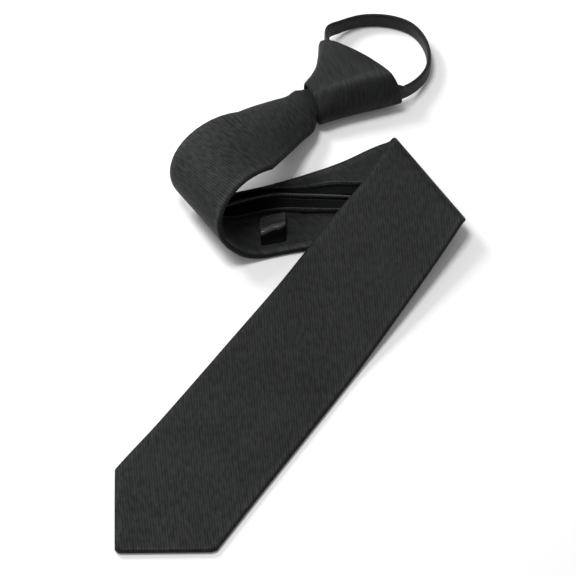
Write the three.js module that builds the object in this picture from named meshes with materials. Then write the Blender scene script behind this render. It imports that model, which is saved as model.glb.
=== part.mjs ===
// A ready-knotted neck tie with a zip, laid down as in a shop picture: the blade leaves its knot, rolls under
// at the left, runs back to the right with its lining side up, folds over and comes forward to its point.
// The small neck loop stands on its edge behind the knot. Its two ends go down through the knot and come out
// behind the blade as a flat tail, two strips with the zip between them, that lies beside its keeper loop.
// Millimetres, +Z up, on a surface at z = 0. The blade points towards -Y.
import * as THREE from "three";

// Blade, measured along its middle from the point
const bladeLength = 500; // point to the top of the knot
const bladeWidth = 68; // across the shoulders of the point
const bladeThickness = 3;
const leftShoulder = 37; // how far each shoulder lies behind the point
const rightShoulder = 28.8;
const pointOffset = 6; // the point lies this far left of the middle
const pointRound = 1.4; // the blunt end of the point
const seamWidth = 1.6; // the groove where the folded edges meet down the back
const seamDepth = 0.6;

// How the blade lies
const flatSpot = 335; // a place between the two rolls that lies flat on the surface
const headingDeg = 193.7; // the way the flat spot runs towards the knot, from +X
const foldRadius = 4; // the right fold, to the middle of the cloth
const liftRadius = 100; // where the cloth starts to lift towards the fold
const curlRadius = 19.2; // the left roll, to the middle of the cloth, and its tighter top
const rollTopRadius = 11.6;
const rollBackRadius = 21.4; // the easing of the roll on its far side
const settleRadius = 180; // the gentle bend where the front half comes down on the surface

// Knot
const knotLength = 32;
const knotTopLeft = 27.8; // half widths of the top, to the left and right of the blade's middle
const knotTopRight = 27.5;
const knotTopSlant = 6; // the right end of the top stands out this much more
const knotTopDome = 2.6; // how far the middle of the top stands out past its ends
const knotEndWidth = 23.4;
const knotEndSlant = 3.4; // the left end of the narrow end lies this much nearer the top, the right one farther
const knotTopFront = 15.5; // the wrap's front above the middle of the blade, at the top and at the narrow end
const knotEndFront = 9.5;
const knotBack = 9; // the wrap's back below the middle of the blade, at the top and at the narrow end
const knotEndBack = 8;
const wrapWall = 1.5;

// Neck loop, a band standing on its edge
const bandWidth = 10;
const bandThickness = 2.4;
const loopReach = 43; // how far the loop stands out past the knot
const loopWidth = 60;
const loopOffset = 3.5; // its middle lies this far left of the blade's middle

// Tail of the band, two strips with the zip between them
const stripWidth = 7.6;
const stripThickness = 2.2;
const stripRidge = 1.2; // how far each strip is puffed up
const tailStart = 281; // the free end of the tail, from the blade's point
const tailOffset = 14; // the most that the tail lies off the blade's middle
const chainWidth = 2.4;
const chainThickness = 1.6;
const chainGap = 0.58; // between the zip's teeth and each strip
const sliderLength = 9;
const sliderWidth = 7;
const sliderThickness = 2.8;

// Keeper loop
const keeperPlace = 355.7; // from the blade's point
const keeperLean = 0.21; // how far it leans along the blade for each millimetre to the right
const keeperWidth = 13.5;
const keeperLength = 16.4;
const keeperRise = 4.3;
const keeperGap = 1.65; // between the tail's right edge and the keeper
const keeperThickness = 1.1;

const clearance = 0.45; // between any two pieces

const radians = THREE.MathUtils.degToRad;
const knotEnd = bladeLength - knotLength;
const bladeEnd = knotEnd + 0.45 * knotLength; // hidden in the knot
const tailEnd = knotEnd + 0.2 * knotLength; // where the tail meets the slider, in the knot
const besideChain = chainWidth / 2 + chainGap;

// The blade's width, how far it swings out to the left and how far its middle is raised towards the front,
// as shares of bladeWidth, along bladeLength. It is gathered in where it goes into the knot.
const bladeRows = [
  { at: 0.0, width: 1.0, swing: 0, crown: 0 },
  { at: 0.08, width: 0.99, swing: 0, crown: 0 },
  { at: 0.14, width: 0.97, swing: -0.01, crown: 0 },
  { at: 0.28, width: 0.945, swing: -0.012, crown: 0 },
  { at: 0.43, width: 0.905, swing: -0.01, crown: 0 },
  { at: 0.5, width: 0.86, swing: -0.01, crown: 0 },
  { at: 0.57, width: 0.81, swing: 0.05, crown: 0 },
  { at: 0.62, width: 0.74, swing: 0.02, crown: 0 },
  { at: 0.7, width: 0.645, swing: 0, crown: 0 },
  { at: 0.78, width: 0.65, swing: 0, crown: 0 },
  { at: 0.83, width: 0.635, swing: 0, crown: 0.02 },
  { at: 0.87, width: 0.56, swing: 0, crown: 0.04 },
  { at: 0.905, width: 0.45, swing: -0.02, crown: 0.06 },
  { at: 0.921, width: 0.4, swing: -0.035, crown: 0.06 },
  { at: 0.933, width: 0.28, swing: 0, crown: 0.05 },
  { at: 0.96, width: 0.28, swing: 0, crown: 0.05 },
];

// Bends of the strip on each side of its flat spot, each about a straight line across it. "at" is where the
// middle of the strip enters the bend, as a share of bladeLength, "skew" turns the line in the cloth's plane
// and "turn" is how far the strip goes round it, both in degrees. The front half's last two bends turn by
// "more", worked out so that the blade comes down to the surface and lies flat there.
const frontSkew = -20.5;
const frontBends = [
  { at: 0.63, skew: frontSkew, radius: liftRadius, turn: 7, more: 0 },
  { at: 0.549, skew: frontSkew, radius: foldRadius, turn: 173, more: 1 },
  { at: 0.35, skew: frontSkew, radius: settleRadius, turn: 0, more: -1 },
];
const knotBends = [
  { at: 0.738, skew: 23, radius: curlRadius, turn: 56, more: 0 },
  { at: 0.782, skew: 12.2, radius: rollTopRadius, turn: 184, more: 0 },
  { at: 0.783, skew: 3.6, radius: rollBackRadius, turn: -60, more: 0 },
];

// Where the blade comes down from the top of the roll to the surface and turns level for the knot, as shares
// of bladeLength, and how far back it runs for each millimetre that it comes down
const dropFrom = 0.79;
const dropTo = 0.925;
const dropBack = 0.7;

// The tail's middle, its strips' widths and their puff as shares of tailOffset, stripWidth and stripRidge,
// along bladeLength
const tailRows = [
  { at: 0.56, off: -0.4, left: 1, right: 1, puff: 0.5 },
  { at: 0.616, off: 0.11, left: 1.08, right: 1.04, puff: 0.9 },
  { at: 0.634, off: 0.31, left: 1, right: 1.12, puff: 1 },
  { at: 0.654, off: 0.52, left: 0.62, right: 1.17, puff: 1 },
  { at: 0.674, off: 0.72, left: 0.36, right: 1.2, puff: 1 },
  { at: 0.702, off: 0.98, left: 0.36, right: 1.22, puff: 1 },
  { at: 0.74, off: 0.95, left: 0.4, right: 1.1, puff: 1 },
  { at: 0.78, off: 0.72, left: 0.5, right: 0.95, puff: 1 },
  { at: 0.88, off: 0.12, left: 0.75, right: 0.8, puff: 0.4 },
  { at: 0.92, off: 0, left: 0.78, right: 0.78, puff: 0 },
];

// Knot, from its narrow end to its top: how far each side has flared and the front has risen
const knotRows = [
  { at: 0, left: 0, right: 0, front: 0 },
  { at: 0.25, left: 0.1, right: 0.22, front: 0.35 },
  { at: 0.5, left: 0.28, right: 0.47, front: 0.68 },
  { at: 0.8, left: 0.68, right: 0.8, front: 0.95 },
  { at: 1, left: 1, right: 1, front: 1 },
];

// Neck loop from its left leg round to its right one: out past the knot as a share of loopReach, to the side
// as a share of half of loopWidth, and how far it has come down to the surface
const loopRows = [
  { out: 0.08, side: -0.94, down: 0.35 },
  { out: 0.3, side: -0.97, down: 0.8 },
  { out: 0.6, side: -0.85, down: 1 },
  { out: 0.86, side: -0.53, down: 1 },
  { out: 0.99, side: -0.18, down: 1 },
  { out: 0.99, side: 0.16, down: 1 },
  { out: 0.9, side: 0.48, down: 1 },
  { out: 0.73, side: 0.74, down: 1 },
  { out: 0.48, side: 0.88, down: 0.8 },
  { out: 0.22, side: 0.9, down: 0.4 },
];

// Keeper from its left end to its right one, as shares of keeperLength and of keeperRise
const keeperRows = [
  { across: 0, rise: 0 },
  { across: 0.06, rise: 0 },
  { across: 0.15, rise: 0.8 },
  { across: 0.26, rise: 1 },
  { across: 0.42, rise: 1 },
  { across: 0.56, rise: 1.06 },
  { across: 0.68, rise: 1.15 },
  { across: 0.77, rise: 1.05 },
  { across: 0.85, rise: 0.55 },
  { across: 0.92, rise: 0 },
  { across: 1, rise: 0 },
];

// Smooth value of a table's column at a place: cubic between rows, flat past both ends.
function tableValue(rows, column, at) {
  const last = rows.length - 1;
  if (at <= rows[0].at) return rows[0][column];
  if (at >= rows[last].at) return rows[last][column];
  const i = rows.findIndex((row) => row.at > at) - 1;
  const slope = (k) => {
    const before = rows[Math.max(k - 1, 0)];
    const after = rows[Math.min(k + 1, last)];
    return (after[column] - before[column]) / (after.at - before.at);
  };
  const span = rows[i + 1].at - rows[i].at;
  const t = (at - rows[i].at) / span;
  const from = rows[i][column];
  const to = rows[i + 1][column];
  const ease = t * t * (3 - 2 * t);
  const rise = t * (1 - t) * span;
  return from + (to - from) * ease + rise * ((1 - t) * slope(i) - t * slope(i + 1));
}

// Takes a point of the flat strip through one bend. "reach" is how far the point's own place on the cloth
// lies past the start of the bend, so that each point turns by its own share of it.
function bendPoint(point, bend, reach) {
  const turned = Math.min(Math.max(reach, 0), bend.length);
  if (turned === 0) return;
  const along = (point.u - bend.at) * Math.cos(bend.skew) + point.v * Math.sin(bend.skew);
  const across = point.v * Math.cos(bend.skew) - (point.u - bend.at) * Math.sin(bend.skew);
  const angle = turned / bend.radius;
  const beyond = along - turned;
  const height = point.h - bend.radius;
  const newAlong = beyond * Math.cos(angle) - height * Math.sin(angle);
  const newHeight = bend.radius + beyond * Math.sin(angle) + height * Math.cos(angle);
  point.u = bend.at + newAlong * Math.cos(bend.skew) - across * Math.sin(bend.skew);
  point.v = newAlong * Math.sin(bend.skew) + across * Math.cos(bend.skew);
  point.h = newHeight;
}

function makeBend(at, skew, radius, turn) {
  return { at, skew, radius: radius * Math.sign(turn), length: radius * Math.abs(turn) };
}

// Runs a point of the strip, u from the flat spot, v across and h off the cloth, through a chain of bends.
function runChain(chain, u, v, h) {
  const point = { u, v, h };
  for (const bend of [...chain].reverse()) {
    const reach = (u - bend.at) * Math.cos(bend.skew) + v * Math.sin(bend.skew);
    bendPoint(point, bend, reach);
  }
  return point;
}

function bendsOf(rows, away, more) {
  return rows.map((row) => {
    const at = away * (row.at * bladeLength - flatSpot);
    return makeBend(at, radians(row.skew), row.radius, radians(row.turn + row.more * more));
  });
}

// The front half, its fold turned past a half turn by what brings the blade down to the surface.
function settledFront() {
  let low = 0;
  let high = 30;
  for (let i = 0; i < 40; i += 1) {
    const middle = (low + high) / 2;
    if (runChain(bendsOf(frontBends, -1, middle), flatSpot, 0, 0).h > 0) low = middle;
    else high = middle;
  }
  return bendsOf(frontBends, -1, (low + high) / 2);
}

const frontChain = settledFront();
const knotChain = bendsOf(knotBends, 1, 0);

const heading = radians(headingDeg);
const knotward = new THREE.Vector3(Math.cos(heading), Math.sin(heading), 0);
const rightward = new THREE.Vector3(-Math.sin(heading), Math.cos(heading), 0);

// The place of a point of the strip as its bends alone leave it.
function bentPlace(s, v, h) {
  const toKnot = s >= flatSpot;
  const p = runChain(toKnot ? knotChain : frontChain, Math.abs(s - flatSpot), v, h);
  return new THREE.Vector3(0, 0, p.h + bladeThickness / 2)
    .addScaledVector(knotward, toKnot ? p.u : -p.u)
    .addScaledVector(rightward, p.v);
}

// What turns the blade level at the knot, about its middle there, and how far it then comes down.
const pivot = bentPlace(dropTo * bladeLength, 0, 0);
const lining = bentPlace(dropTo * bladeLength, 0, 1).sub(pivot);
const levelTurn = new THREE.Quaternion().setFromUnitVectors(lining, new THREE.Vector3(0, 0, -1));
const drop = pivot.z - knotBack;

// The laid-down place of a point of the strip: s from the point, v to the right seen from the front, h
// towards the back of the tie.
function lay(s, v, h) {
  const place = bentPlace(s, v, h);
  const share = (s / bladeLength - dropFrom) / (dropTo - dropFrom);
  if (share <= 0) return place;
  const ease = THREE.MathUtils.smoothstep(share, 0, 1);
  const turn = new THREE.Quaternion().slerp(levelTurn, ease);
  place.sub(pivot).applyQuaternion(turn).add(pivot);
  return place.add(new THREE.Vector3(0, dropBack, -1).multiplyScalar(drop * ease));
}

// Lines across the strip along which its sections are taken. They turn with the bends, so that each section
// lies along a straight line of the bent cloth.
function bendLines(chain, sign) {
  return chain.flatMap((bend) => {
    const slope = -sign * Math.tan(bend.skew);
    const span = bend.length / Math.cos(bend.skew);
    return [bend.at, bend.at + span].map((u) => ({ s: flatSpot + sign * u, slope }));
  });
}

function lineSlope(s) {
  const lines = [
    { s: leftShoulder, slope: 0 },
    ...bendLines(frontChain, -1),
    ...bendLines(knotChain, 1),
    { s: knotEnd, slope: 0 },
  ].sort((a, b) => a.s - b.s);
  const last = lines.length - 1;
  if (s <= lines[0].s) return lines[0].slope;
  if (s >= lines[last].s) return lines[last].slope;
  const i = lines.findIndex((line) => line.s > s) - 1;
  const t = (s - lines[i].s) / (lines[i + 1].s - lines[i].s);
  return lines[i].slope + (lines[i + 1].slope - lines[i].slope) * t;
}

// Places along the strip from one to the other: close together in the bends, wide apart where it is straight.
const bendStepDeg = 18;
const flatStep = 16;
function stations(from, to) {
  const dropZone = { from: dropFrom * bladeLength, to: dropTo * bladeLength, radius: curlRadius };
  const all = [...bendZones(frontChain, -1), ...bendZones(knotChain, 1), dropZone];
  const places = [from];
  while (places[places.length - 1] < to) {
    const s = places[places.length - 1];
    const zone = all.find((z) => s >= z.from - 1e-6 && s < z.to - 1e-6);
    const next = all.filter((z) => z.from > s + 1e-6).map((z) => z.from);
    const step = zone ? Math.min(flatStep, Math.abs(zone.radius) * radians(bendStepDeg)) : flatStep;
    const limit = zone ? zone.to : Math.min(...next, to);
    const count = Math.max(1, Math.ceil((Math.min(limit, to) - s) / step));
    places.push(count === 1 ? Math.min(limit, to) : s + (Math.min(limit, to) - s) / count);
  }
  return places;
}

function bendZones(chain, sign) {
  return chain.map((bend) => {
    const span = bend.length / Math.cos(bend.skew);
    const ends = [flatSpot + sign * bend.at, flatSpot + sign * (bend.at + span)].sort((a, b) => a - b);
    return { from: ends[0], to: ends[1], radius: bend.radius };
  });
}

// Closed solid through a row of closed sections. The points of each run from one side of it over the back to
// the other side, half way through, and return over the front, so that each end closes as a ladder.
function loft(sections) {
  const count = sections[0].length;
  const positions = sections.flat().flatMap((p) => [p.x, p.y, p.z]);
  const faces = [];
  for (let i = 0; i + 1 < sections.length; i += 1) {
    for (let j = 0; j < count; j += 1) {
      const k = (j + 1) % count;
      const [a, b, c, d] = [i * count + j, i * count + k, (i + 1) * count + k, (i + 1) * count + j];
      faces.push(a, b, c, a, c, d);
    }
  }
  const far = (sections.length - 1) * count;
  const close = (a, b, c) => faces.push(a, c, b, far + a, far + b, far + c);
  close(0, 1, count - 1);
  for (let i = 1; i + 1 < count / 2; i += 1) {
    close(i, i + 1, count - i);
    close(i + 1, count - i - 1, count - i);
  }
  close(count / 2 - 1, count / 2, count / 2 + 1);
  return outwardSolid(positions, faces);
}

// Closed ring: sections all the way round, the last joined to the first.
function ringLoft(sections) {
  const count = sections[0].length;
  const positions = sections.flat().flatMap((p) => [p.x, p.y, p.z]);
  const faces = [];
  for (let i = 0; i < sections.length; i += 1) {
    const next = (i + 1) % sections.length;
    for (let j = 0; j < count; j += 1) {
      const k = (j + 1) % count;
      const [a, b, c, d] = [i * count + j, i * count + k, next * count + k, next * count + j];
      faces.push(a, b, c, a, c, d);
    }
  }
  return outwardSolid(positions, faces);
}

// Turns all faces round if they point inwards.
function outwardSolid(positions, faces) {
  let volume = 0;
  const corner = (i) => new THREE.Vector3().fromArray(positions, 3 * i);
  for (let i = 0; i < faces.length; i += 3) {
    volume += corner(faces[i]).dot(corner(faces[i + 1]).cross(corner(faces[i + 2])));
  }
  if (volume < 0) {
    for (let i = 0; i < faces.length; i += 3) {
      [faces[i + 1], faces[i + 2]] = [faces[i + 2], faces[i + 1]];
    }
  }
  const geometry = new THREE.BufferGeometry();
  geometry.setAttribute("position", new THREE.Float32BufferAttribute(positions, 3));
  geometry.setIndex(faces);
  geometry.computeVertexNormals();
  return geometry;
}

function cloth(color, roughness) {
  return new THREE.MeshStandardMaterial({ color, roughness, metalness: 0 });
}

function named(name, geometry, material) {
  const mesh = new THREE.Mesh(geometry, material);
  mesh.name = name;
  return mesh;
}

// Blade: half widths to the left and right of the middle, drawn in towards the point.
function bladeEdges(s) {
  const half = (at) => (bladeWidth * tableValue(bladeRows, "width", at / bladeLength)) / 2;
  const swing = bladeWidth * tableValue(bladeRows, "swing", s / bladeLength);
  const drawIn = (shoulder) => Math.min(s / shoulder, 1);
  return {
    left: -pointOffset + (pointOffset - half(s - knotEndSlant)) * drawIn(leftShoulder) - swing,
    right: -pointOffset + (pointOffset + half(s + knotEndSlant)) * drawIn(rightShoulder) - swing / 3,
  };
}

function onLine(s, slope, edge) {
  let v = edge(s);
  for (let i = 0; i < 4; i += 1) v = edge(s + slope * v);
  return v;
}

// A section of the blade, from its right edge over the back, with the seam, and over the front again.
const edgeSteps = 2; // steps round each half of a rounded edge
function bladeOutline(s) {
  const slope = lineSlope(s);
  const thick = bladeThickness / 2;
  const right = onLine(s, slope, (at) => bladeEdges(at).right) - thick;
  const left = onLine(s, slope, (at) => bladeEdges(at).left) + thick;
  const middle = (left + right) / 2;
  const half = (right - left) / 2 + thick;
  const crown = bladeWidth * tableValue(bladeRows, "crown", s / bladeLength);
  const groove = Math.min(seamWidth / 2, (right - left) / 8);
  const places = [];
  for (let i = 0; i <= edgeSteps; i += 1) {
    const angle = (Math.PI / 2) * (i / edgeSteps);
    places.push({ v: right + thick * Math.cos(angle), h: thick * Math.sin(angle) });
  }
  for (const share of [0.75, 0.5, 0.25]) places.push({ v: middle + (right - middle) * share, h: thick });
  places.push({ v: middle + groove, h: thick });
  places.push({ v: middle, h: thick, seam: seamDepth });
  const mirrored = places.slice(0, -1).reverse();
  const back = [...places, ...mirrored.map((p) => ({ v: left + right - p.v, h: p.h }))];
  const front = back.slice(1, -1).reverse();
  const raised = (v) => -crown * (1 - ((v - middle) / half) ** 2);
  const points = [
    ...back.map((p) => ({ v: p.v, h: p.h - (p.seam ?? 0) + raised(p.v) })),
    ...front.map((p) => ({ v: p.v, h: raised(p.v) - p.h })),
  ];
  return { points, slope };
}

function layOutline(s, outline) {
  return outline.points.map((p) => lay(s + outline.slope * p.v, p.v, p.h));
}

function bladeGeometry() {
  const nearPoint = [0.1, 0.4, 0.7].map((share) => share * rightShoulder);
  const places = [pointRound, ...nearPoint, rightShoulder, ...bladePlaces];
  return loft(places.map((s) => layOutline(s, bladeOutline(s))));
}

// Places along the blade past its shoulder, close together where it is gathered into the knot
const gatherPlaces = [-16, -11, -7, -4, -1.5, 0.5, 2.5, 5].map((away) => knotEnd + away);
const bladePlaces = [...stations(leftShoulder, gatherPlaces[0]), ...gatherPlaces.slice(1), bladeEnd];

// A strip that lies on the blade's back, its middle at v(s) and its underside clear of the blade.
function stripOutline(s, middle, width, thickness, ridge) {
  const slope = lineSlope(s);
  const centre = onLine(s, slope, middle);
  const half = width(s) / 2;
  const low = bladeThickness / 2 + clearance;
  const edge = Math.min(thickness / 2, half / 2);
  const points = [
    { v: half, h: thickness / 2 },
    { v: half - edge, h: thickness * 0.8 },
    { v: half * 0.1, h: thickness + ridge * 0.7 },
    { v: -half * 0.45, h: thickness + ridge },
    { v: edge - half, h: thickness * 0.9 },
    { v: -half, h: thickness / 2 },
    { v: edge - half, h: 0 },
    { v: -half * 0.45, h: 0 },
    { v: half * 0.1, h: 0 },
    { v: half - edge, h: 0 },
  ];
  return { points: points.map((p) => ({ v: centre + p.v, h: low + p.h })), slope };
}

function tailMiddle(s) {
  return -tailOffset * tableValue(tailRows, "off", s / bladeLength);
}

function stripWide(side, s) {
  return stripWidth * tableValue(tailRows, side < 0 ? "left" : "right", s / bladeLength);
}

function alongBlade(from, to, outlineAt) {
  const between = bladePlaces.filter((s) => s > from + 1 && s < to - 1);
  return loft([from, ...between, to].map((s) => layOutline(s, outlineAt(s))));
}

function stripGeometry(side) {
  const wide = (s) => stripWide(side, s);
  const middle = (s) => tailMiddle(s) + side * (besideChain + wide(s) / 2);
  const puff = (s) => stripRidge * tableValue(tailRows, "puff", s / bladeLength);
  const outlineAt = (s) => stripOutline(s, middle, wide, stripThickness, puff(s));
  return alongBlade(tailStart, tailEnd, outlineAt);
}

function chainGeometry() {
  const outlineAt = (s) => stripOutline(s, tailMiddle, () => chainWidth, chainThickness, 0);
  return alongBlade(tailStart + clearance, tailEnd, outlineAt);
}

function sliderGeometry() {
  const low = bladeThickness / 2 + clearance;
  const from = tailEnd + clearance;
  const sections = [from, from + sliderLength].map((s) => {
    const wide = sliderWidth / 2;
    return [
      lay(s, wide, low),
      lay(s, wide, low + sliderThickness),
      lay(s, -wide, low + sliderThickness),
      lay(s, -wide, low),
    ];
  });
  return loft(sections);
}

// Keeper: a thin arch beside the tail, its feet on the blade's back.
function keeperGeometry() {
  const left = tailMiddle(keeperPlace) + besideChain + stripWide(1, keeperPlace) + keeperGap;
  const foot = bladeThickness / 2 + clearance + keeperThickness / 2;
  const spine = keeperRows.map((row) => {
    return new THREE.Vector2(left + row.across * keeperLength, foot + row.rise * keeperRise);
  });
  const lift = (p, by) => new THREE.Vector2(p.x, p.y + by);
  const tip = (p, by) => new THREE.Vector2(p.x + by, p.y);
  const thick = keeperThickness / 2;
  const last = spine[spine.length - 1];
  const outline = [
    tip(spine[0], -thick),
    ...spine.map((p) => lift(p, thick)),
    tip(last, thick),
    ...spine.map((p) => lift(p, -thick)).reverse(),
  ];
  const steps = [0, 0.5, 1].map((share) => keeperPlace - keeperWidth / 2 + share * keeperWidth);
  const middle = left + keeperLength / 2;
  return loft(steps.map((s) => outline.map((p) => lay(s + keeperLean * (p.x - middle), p.x, p.y))));
}

// Knot: a hollow wrap, flat behind and rounded in front.
const knotAround = 28;
const knotSteps = 9;
function knotSection(at, inset) {
  const ease = (column) => tableValue(knotRows, column, at);
  const narrow = knotEndWidth / 2;
  const left = narrow + ease("left") * (knotTopLeft - narrow) - inset;
  const right = narrow + ease("right") * (knotTopRight - narrow) - inset;
  const front = knotEndFront + ease("front") * (knotTopFront - knotEndFront) - inset;
  const back = knotEndBack + at * (knotBack - knotEndBack) - inset;
  const points = [];
  for (let i = 0; i < knotAround; i += 1) {
    const angle = (2 * Math.PI * i) / knotAround;
    const c = Math.cos(angle);
    const d = Math.sin(angle);
    const power = d > 0 ? 2 / 2.8 : 2 / 2.7;
    const v = Math.sign(c) * Math.abs(c) ** power * (c > 0 ? right : left);
    const h = Math.sign(d) * Math.abs(d) ** power * (d > 0 ? back : front);
    const side = c > 0 ? v / right : v / left;
    const top = knotTopSlant * side + knotTopDome * (1 - side ** 2);
    const narrowEnd = -knotEndSlant * side;
    points.push(lay(knotEnd + at * knotLength + at * top + (1 - at) * narrowEnd, v, h));
  }
  return points;
}

function knotGeometry() {
  const shares = [...Array(knotSteps + 1).keys()].map((i) => i / knotSteps);
  const outside = shares.map((at) => knotSection(at, 0));
  const inside = shares.map((at) => knotSection(at, wrapWall)).reverse();
  return ringLoft([...outside, ...inside]);
}

// Neck band: its legs lie flat behind the blade's hidden end, turn on edge inside the knot's top and run
// round the loop.
function bandPath() {
  const flatHeight = bladeThickness / 2 + clearance + bandThickness / 2;
  const mouthHeight = -bandWidth * 0.28;
  const surfaceHeight = knotBack - bandWidth / 2;
  const legEnd = tailEnd + sliderLength + clearance - bladeLength;
  const inner = clearance + bandWidth / 2;
  const spare = wrapWall + bandThickness / 2 + 2 * clearance + 0.24 * bandWidth;
  const outer = (side) => (side < 0 ? knotTopLeft : knotTopRight) - spare;
  const legAt = (side, share, lie) => {
    const v = side * (inner + (outer(side) - inner) * share ** 1.6);
    const across = (side * outer(side)) / (side < 0 ? knotTopLeft : knotTopRight);
    const mouthOut = knotTopSlant * across + knotTopDome * (1 - across ** 2);
    const h = mouthHeight + (flatHeight - mouthHeight) * lie ** 0.7;
    return { out: legEnd + (mouthOut - legEnd) * share, v, h, lie };
  };
  const leg = (side) => [
    legAt(side, 0, 1),
    legAt(side, 0.25, 1),
    legAt(side, 0.5, 0.72),
    legAt(side, 0.78, 0.25),
    legAt(side, 1, 0),
  ];
  const round = loopRows.map((row) => ({
    out: row.out * loopReach,
    v: (row.side * loopWidth) / 2 - loopOffset,
    h: mouthHeight + (surfaceHeight - mouthHeight) * row.down,
    lie: 0,
  }));
  return [...leg(-1), ...round, ...leg(1).reverse()];
}

const bandSteps = 72;
function bandGeometry() {
  const path = bandPath();
  const curve = new THREE.CatmullRomCurve3(path.map((p) => new THREE.Vector3(p.out, p.v, p.h)));
  const wide = bandWidth / 2;
  const thick = bandThickness / 2;
  const edge = thick * 0.6;
  const outline = [
    [wide, 0],
    [wide - edge, thick],
    [0, thick],
    [edge - wide, thick],
    [-wide, 0],
    [edge - wide, -thick],
    [0, -thick],
    [wide - edge, -thick],
  ].map(([x, y]) => new THREE.Vector2(x, y));
  const sections = [];
  for (let i = 0; i <= bandSteps; i += 1) {
    const t = i / bandSteps;
    const place = t * (path.length - 1);
    const k = Math.min(Math.floor(place), path.length - 2);
    const lie = path[k].lie + (path[k + 1].lie - path[k].lie) * (place - k);
    const centre = curve.getPoint(t);
    const along = curve.getTangent(t);
    const up = new THREE.Vector3(0, 0, 1);
    const aside = along.clone().cross(up).normalize();
    const turn = (lie * Math.PI) / 2;
    const across = up.multiplyScalar(Math.cos(turn)).addScaledVector(aside, Math.sin(turn));
    across.addScaledVector(along, -across.dot(along)).normalize();
    const through = along.clone().cross(across);
    sections.push(
      outline.map((p) => {
        const q = centre.clone().addScaledVector(across, p.x).addScaledVector(through, p.y);
        return lay(bladeLength + q.x, q.y, q.z);
      }),
    );
  }
  return loft(sections);
}

const tie = new THREE.Group();
const blackTwill = cloth(0x2b2d2c, 0.85);
const blackSatin = cloth(0x26282a, 0.45);
const zipBlack = cloth(0x1c1d1e, 0.5);
tie.add(named("blade", bladeGeometry(), blackTwill));
tie.add(named("knot_wrap", knotGeometry(), blackTwill));
tie.add(named("neck_band", bandGeometry(), blackTwill));
tie.add(named("tail_strip_left", stripGeometry(-1), blackTwill));
tie.add(named("tail_strip_right", stripGeometry(1), blackTwill));
tie.add(named("zip_chain", chainGeometry(), zipBlack));
tie.add(named("zip_slider", sliderGeometry(), zipBlack));
tie.add(named("keeper_loop", keeperGeometry(), blackSatin));

// The middle of the tie's outline stands over the origin, and its lowest point is at z = 0.
const box = new THREE.Box3().setFromObject(tie);
const centre = box.getCenter(new THREE.Vector3());
for (const mesh of tie.children) mesh.geometry.translate(-centre.x, -centre.y, -box.min.z);

export default tie;
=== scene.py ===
# A ready-knotted black neck tie with a zip, laid rolled and folded on a pale floor.
import math

import bpy
import numpy as np
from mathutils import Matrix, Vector


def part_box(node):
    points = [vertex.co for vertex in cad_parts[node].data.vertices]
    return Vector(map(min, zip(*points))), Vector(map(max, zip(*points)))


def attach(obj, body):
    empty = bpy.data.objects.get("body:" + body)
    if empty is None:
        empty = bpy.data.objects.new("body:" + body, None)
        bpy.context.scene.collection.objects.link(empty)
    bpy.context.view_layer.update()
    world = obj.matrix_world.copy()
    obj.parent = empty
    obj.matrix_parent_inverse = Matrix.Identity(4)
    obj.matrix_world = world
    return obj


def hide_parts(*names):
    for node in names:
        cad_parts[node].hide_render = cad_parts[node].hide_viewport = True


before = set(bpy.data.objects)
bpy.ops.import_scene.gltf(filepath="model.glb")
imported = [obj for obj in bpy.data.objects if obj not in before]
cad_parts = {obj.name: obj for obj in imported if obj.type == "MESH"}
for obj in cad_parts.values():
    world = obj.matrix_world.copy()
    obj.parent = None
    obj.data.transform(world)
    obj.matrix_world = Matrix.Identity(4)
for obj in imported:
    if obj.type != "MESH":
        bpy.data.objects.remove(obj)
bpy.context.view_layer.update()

scene = bpy.context.scene
rad = math.radians


# Camera: the photograph's angle, from well away
ELEVATION = rad(56.9)
camera_data = bpy.data.cameras.new("camera")
camera_data.lens = 193.5
camera_data.sensor_width = 36.0
camera_data.clip_start = 0.05
camera_data.clip_end = 20.0
camera = bpy.data.objects.new("camera", camera_data)
camera.location = (-0.00311, -0.87367, 1.32745)
camera.rotation_euler = (math.pi / 2 - ELEVATION, 0, 0)
scene.collection.objects.link(camera)
scene.camera = camera


# Sizes in millimetres, as in the part's source
BLADE_LENGTH = 500.0
BLADE_WIDTH = 68.0
THICK = 3.0
LEFT_SHOULDER = 37.0
RIGHT_SHOULDER = 28.8
POINT_OFFSET = 6.0
POINT_ROUND = 1.4
FLAT_SPOT = 335.0
HEADING = rad(193.7)
KNOT_LENGTH = 32.0
KNOT_TOP_LEFT = 27.8
KNOT_TOP_RIGHT = 27.5
KNOT_TOP_SLANT = 6.0
KNOT_TOP_DOME = 2.6
KNOT_END_WIDTH = 23.4
KNOT_END_SLANT = 3.4
KNOT_TOP_FRONT = 15.5
KNOT_END_FRONT = 9.5
KNOT_BACK = 9.0
KNOT_END_BACK = 8.0
WRAP_WALL = 1.5
BAND_WIDTH = 10.0
BAND_THICK = 2.4
LOOP_REACH = 43.0
LOOP_WIDTH = 60.0
LOOP_OFFSET = 3.5
STRIP_WIDTH = 7.6
STRIP_THICK = 2.2
TAIL_START = 281.0
TAIL_OFFSET = 14.0
CHAIN_WIDTH = 2.4
CHAIN_THICK = 1.6
CHAIN_GAP = 0.58
TOOTH_PITCH = 1.5
SLIDER_LENGTH = 9.0
SLIDER_WIDTH = 7.0
SLIDER_THICK = 2.8
KEEPER_PLACE = 355.7
KEEPER_LEAN = 0.21
KEEPER_WIDTH = 13.5
KEEPER_LENGTH = 16.4
KEEPER_RISE = 4.3
KEEPER_GAP = 1.65
KEEPER_THICK = 1.1
CLEAR = 0.45
KNOT_END = BLADE_LENGTH - KNOT_LENGTH
BLADE_END = KNOT_END + 0.45 * KNOT_LENGTH
TAIL_END = KNOT_END + 0.2 * KNOT_LENGTH
BESIDE_CHAIN = CHAIN_WIDTH / 2 + CHAIN_GAP
DROP_FROM, DROP_TO, DROP_BACK = 0.79, 0.925, 0.7

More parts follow.
